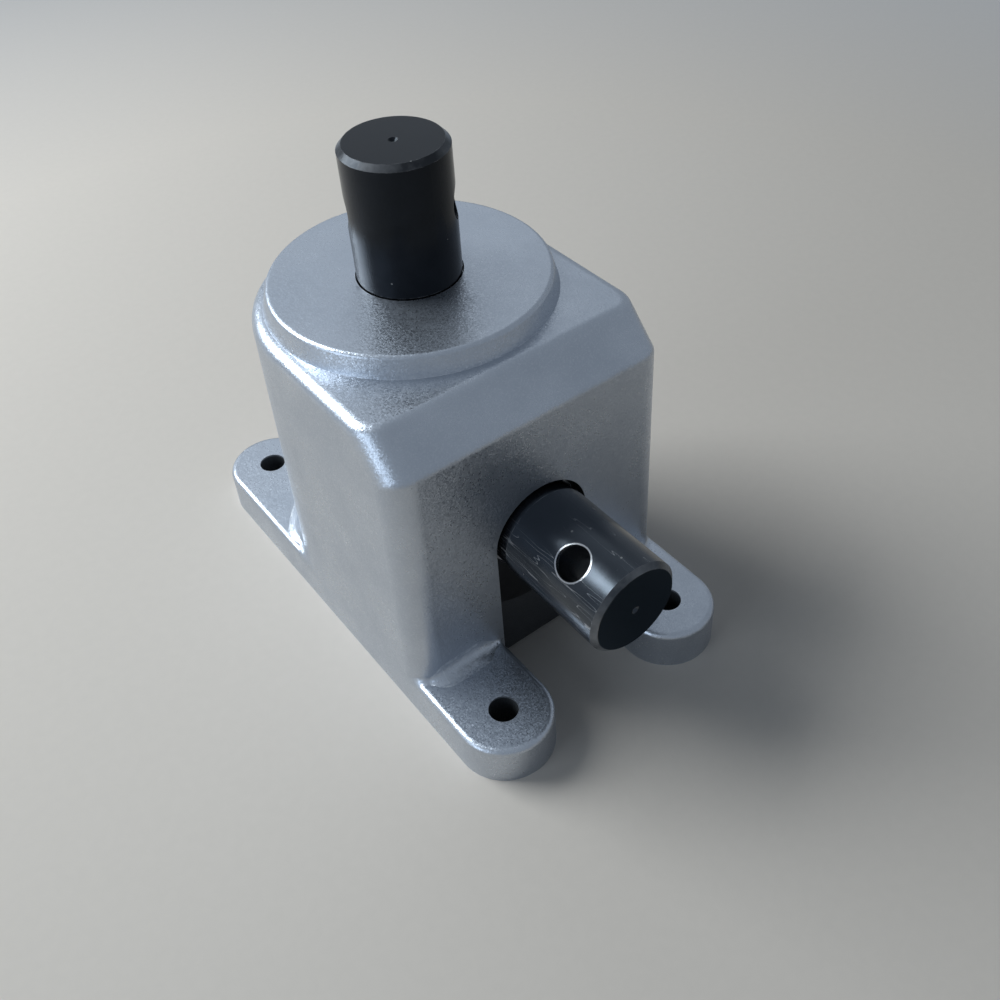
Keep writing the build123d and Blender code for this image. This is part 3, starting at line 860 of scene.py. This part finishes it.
def make_room(scene, settings):
    """Even light from all round, and a plain wall for the rays that show the background."""
    world = bpy.data.worlds.new("room")
    world.use_nodes = True
    tree = world.node_tree
    tree.nodes.clear()
    seen = seen_rays(tree)
    even = {"Color": (*ROOM_COLOUR, 1.0), "Strength": settings.sky}
    lit = node(tree, "ShaderNodeBackground", even)
    wall = node(tree, "ShaderNodeBackground", {"Color": (*WALL_COLOUR, 1.0), "Strength": 1.0})
    choice = node(tree, "ShaderNodeMixShader", {0: seen, 1: lit.outputs[0], 2: wall.outputs[0]})
    output = tree.nodes.new("ShaderNodeOutputWorld")
    tree.links.new(choice.outputs[0], output.inputs[0])
    scene.world = world


def make_lamp(name, place, width, colour, power):
    """A square soft lamp that faces the gearbox."""
    lamp = bpy.data.lights.new(name, "AREA")
    lamp.shape = "SQUARE"
    lamp.size = width
    lamp.energy = power
    lamp.color = colour
    made = bpy.data.objects.new(name, lamp)
    made.location = place
    towards = Vector((0.0, 0.0, APEX_HEIGHT)) - Vector(place)
    made.rotation_euler = towards.to_track_quat("-Z", "Y").to_euler()
    bpy.context.scene.collection.objects.link(made)


def make_camera(scene):
    """The camera, above the gearbox on its front left."""
    camera = bpy.data.cameras.new("camera")
    camera.sensor_width = CAMERA_SENSOR
    camera.lens = CAMERA_LENS
    camera.shift_x, camera.shift_y = CAMERA_SHIFT
    camera.clip_start, camera.clip_end = CAMERA_CLIP
    made = bpy.data.objects.new("camera", camera)
    made.location = CAMERA_PLACE
    made.rotation_mode = "QUATERNION"
    made.rotation_quaternion = CAMERA_TURN
    scene.collection.objects.link(made)
    scene.camera = made


# Operators


class GEARBOX_OT_effects(bpy.types.Operator):
    """Makes the surface effects that the finishes share"""

    bl_idname = "gearbox.effects"
    bl_label = "Surface Effects"

    def execute(self, context):
        make_grain()
        make_flakes()
        make_patches()
        make_edge_wear()
        make_specks()
        make_turning_marks()
        make_scratches()
        return {"FINISHED"}


class GEARBOX_OT_casting(bpy.types.Operator):
    """Finishes the housing and the bottom cover in silver"""

    bl_idname = "gearbox.casting"
    bl_label = "Housing and Cover"

    def execute(self, context):
        dress(["housing", "bottom_cover"], casting_finish(context.scene.gearbox_casting))
        return {"FINISHED"}


class GEARBOX_OT_coves(bpy.types.Operator):
    """Adds the hollow fillets where the four ears meet the body"""

    bl_idname = "gearbox.coves"
    bl_label = "Ear Coves"

    def execute(self, context):
        settings = context.scene.gearbox_cove
        for side, word in ((-1.0, "left"), (1.0, "right")):
            for end in ("front", "rear"):
                name = end + "_" + word + "_ear_cove"
                cove = make_cove(name, end, side, settings)
                cove.data.materials.append(bpy.data.materials["silver_casting"])
                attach(cove, "casing")
        return {"FINISHED"}


class GEARBOX_OT_shafts(bpy.types.Operator):
    """Finishes the two shafts in black"""

    bl_idname = "gearbox.shafts"
    bl_label = "Shafts"

    def execute(self, context):
        steel = context.scene.gearbox_steel
        upright = shaft_finish(
            "black_upright_shaft",
            steel,
            turned=0.0,
            moved=(0.0, 0.0, -APEX_HEIGHT),
            hole_along=UPRIGHT_HOLE_ALONG,
            hole_turn=UPRIGHT_HOLE_TURN,
            rub=0.0,
        )
        level = shaft_finish(
            "black_level_shaft",
            steel,
            turned=-math.pi / 2,
            moved=(0.0, -APEX_HEIGHT, 0.0),
            hole_along=LEVEL_HOLE_ALONG,
            hole_turn=LEVEL_HOLE_TURN,
            rub=1.0,
        )
        dress(["upright_shaft"], upright)
        dress(["level_shaft"], level)
        return {"FINISHED"}


class GEARBOX_OT_gears(bpy.types.Operator):
    """Finishes the two gears and their keys"""

    bl_idname = "gearbox.gears"
    bl_label = "Gears and Keys"

    def execute(self, context):
        steel = context.scene.gearbox_steel
        hardened = steel_finish(
            "hardened_gear_steel",
            colour=tuple(steel.gear),
            shade=tuple(0.72 * c for c in steel.gear),
            rough=0.36,
            wear_share=0.6,
        )
        drawn = steel_finish(
            "drawn_key_steel",
            colour=(0.50, 0.50, 0.50),
            shade=(0.42, 0.42, 0.42),
            rough=0.34,
            wear_share=0.5,
        )
        dress(["upright_gear", "level_gear"], hardened)
        dress(["upright_key", "level_key"], drawn)
        return {"FINISHED"}


class GEARBOX_OT_bearings(bpy.types.Operator):
    """Finishes the rings, collars, rollers and cages of the two bearings"""

    bl_idname = "gearbox.bearings"
    bl_label = "Bearings"

    def execute(self, context):
        ground = steel_finish(
            "ground_bearing_steel",
            colour=(0.62, 0.62, 0.63),
            shade=(0.56, 0.56, 0.57),
            rough=0.20,
            wear_share=0.3,
            grain_size=0.0002,
            grain_depth=0.000003,
        )
        cage = soft_finish(
            "cage_plastic",
            colour=(0.055, 0.060, 0.050),
            shade=(0.040, 0.045, 0.038),
            rough=0.46,
            grain_size=0.0004,
            grain_depth=0.00001,
        )
        for place in ("upper_bearing_", "front_bearing_"):
            rings = ("inner_ring", "collar", "rollers", "outer_ring")
            dress([place + part for part in rings], ground)
            dress([place + "cage"], cage)
        return {"FINISHED"}


class GEARBOX_OT_small_parts(bpy.types.Operator):
    """Finishes the clips, shields, screws and gasket"""

    bl_idname = "gearbox.small_parts"
    bl_label = "Clips, Shields, Screws and Gasket"

    def execute(self, context):
        spring = steel_finish(
            "phosphated_spring_steel",
            colour=(0.085, 0.085, 0.090),
            shade=(0.060, 0.060, 0.064),
            rough=0.42,
            wear_share=0.6,
        )
        shield = steel_finish(
            "black_shield_steel",
            colour=(0.040, 0.041, 0.044),
            shade=(0.030, 0.030, 0.032),
            rough=0.40,
            wear_share=0.4,
        )
        zinc = steel_finish(
            "zinc_plated_steel",
            colour=(0.60, 0.61, 0.60),
            shade=(0.50, 0.51, 0.50),
            rough=0.30,
            wear_share=0.4,
        )
        fibre = soft_finish(
            "gasket_fibre",
            colour=(0.20, 0.22, 0.20),
            shade=(0.15, 0.17, 0.16),
            rough=0.72,
            grain_size=0.0005,
            grain_depth=0.00004,
        )
        dress(["upright_gear_clip", "level_gear_clip", "upper_bearing_clip"], spring)
        dress(["upper_grease_shield", "front_grease_shield"], shield)
        dress(["cover_screws"], zinc)
        dress(["cover_gasket"], fibre)
        return {"FINISHED"}


class GEARBOX_OT_stage(bpy.types.Operator):
    """Makes the floor, the soft lamps and the camera"""

    bl_idname = "gearbox.stage"
    bl_label = "Stage"

    def execute(self, context):
        settings = context.scene.gearbox_stage
        scene = context.scene
        scene.view_settings.view_transform = "Standard"
        make_floor(settings)
        make_room(scene, settings)
        for name, place, width, colour, power in LAMPS:
            make_lamp(name, place, width, colour, getattr(settings, power))
        make_camera(scene)
        return {"FINISHED"}


# Panel and registration


class GEARBOX_PT_panel(bpy.types.Panel):
    """Lists the steps that finish and stage the gearbox, and their settings"""

    bl_idname = "GEARBOX_PT_panel"
    bl_label = "Gearbox"
    bl_space_type = "VIEW_3D"
    bl_region_type = "UI"
    bl_category = "Gearbox"

    def draw(self, context):
        for name in STEPS:
            self.layout.operator("gearbox." + name)
        for name in SETTINGS:
            group = getattr(context.scene, name)
            box = self.layout.box()
            for key in group.__annotations__:
                box.prop(group, key)


STEPS = ("effects", "casting", "coves", "shafts", "gears", "bearings", "small_parts", "stage")

SETTINGS = {
    "gearbox_casting": GearboxCastingSettings,
    "gearbox_cove": GearboxCoveSettings,
    "gearbox_steel": GearboxSteelSettings,
    "gearbox_stage": GearboxStageSettings,
}

CLASSES = (
    *SETTINGS.values(),
    GEARBOX_OT_effects,
    GEARBOX_OT_casting,
    GEARBOX_OT_coves,
    GEARBOX_OT_shafts,
    GEARBOX_OT_gears,
    GEARBOX_OT_bearings,
    GEARBOX_OT_small_parts,
    GEARBOX_OT_stage,
    GEARBOX_PT_panel,
)


def register():
    for kind in CLASSES:
        bpy.utils.register_class(kind)
    for name, kind in SETTINGS.items():
        setattr(bpy.types.Scene, name, bpy.props.PointerProperty(type=kind))


def unregister():
    for name in SETTINGS:
        delattr(bpy.types.Scene, name)
    for kind in reversed(CLASSES):
        bpy.utils.unregister_class(kind)


def main():
    """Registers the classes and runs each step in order."""
    register()
    bpy.ops.gearbox.effects()
    bpy.ops.gearbox.casting()
    bpy.ops.gearbox.coves()
    bpy.ops.gearbox.shafts()
    bpy.ops.gearbox.gears()
    bpy.ops.gearbox.bearings()
    bpy.ops.gearbox.small_parts()
    bpy.ops.gearbox.stage()


if __name__ == "__main__":
    main()
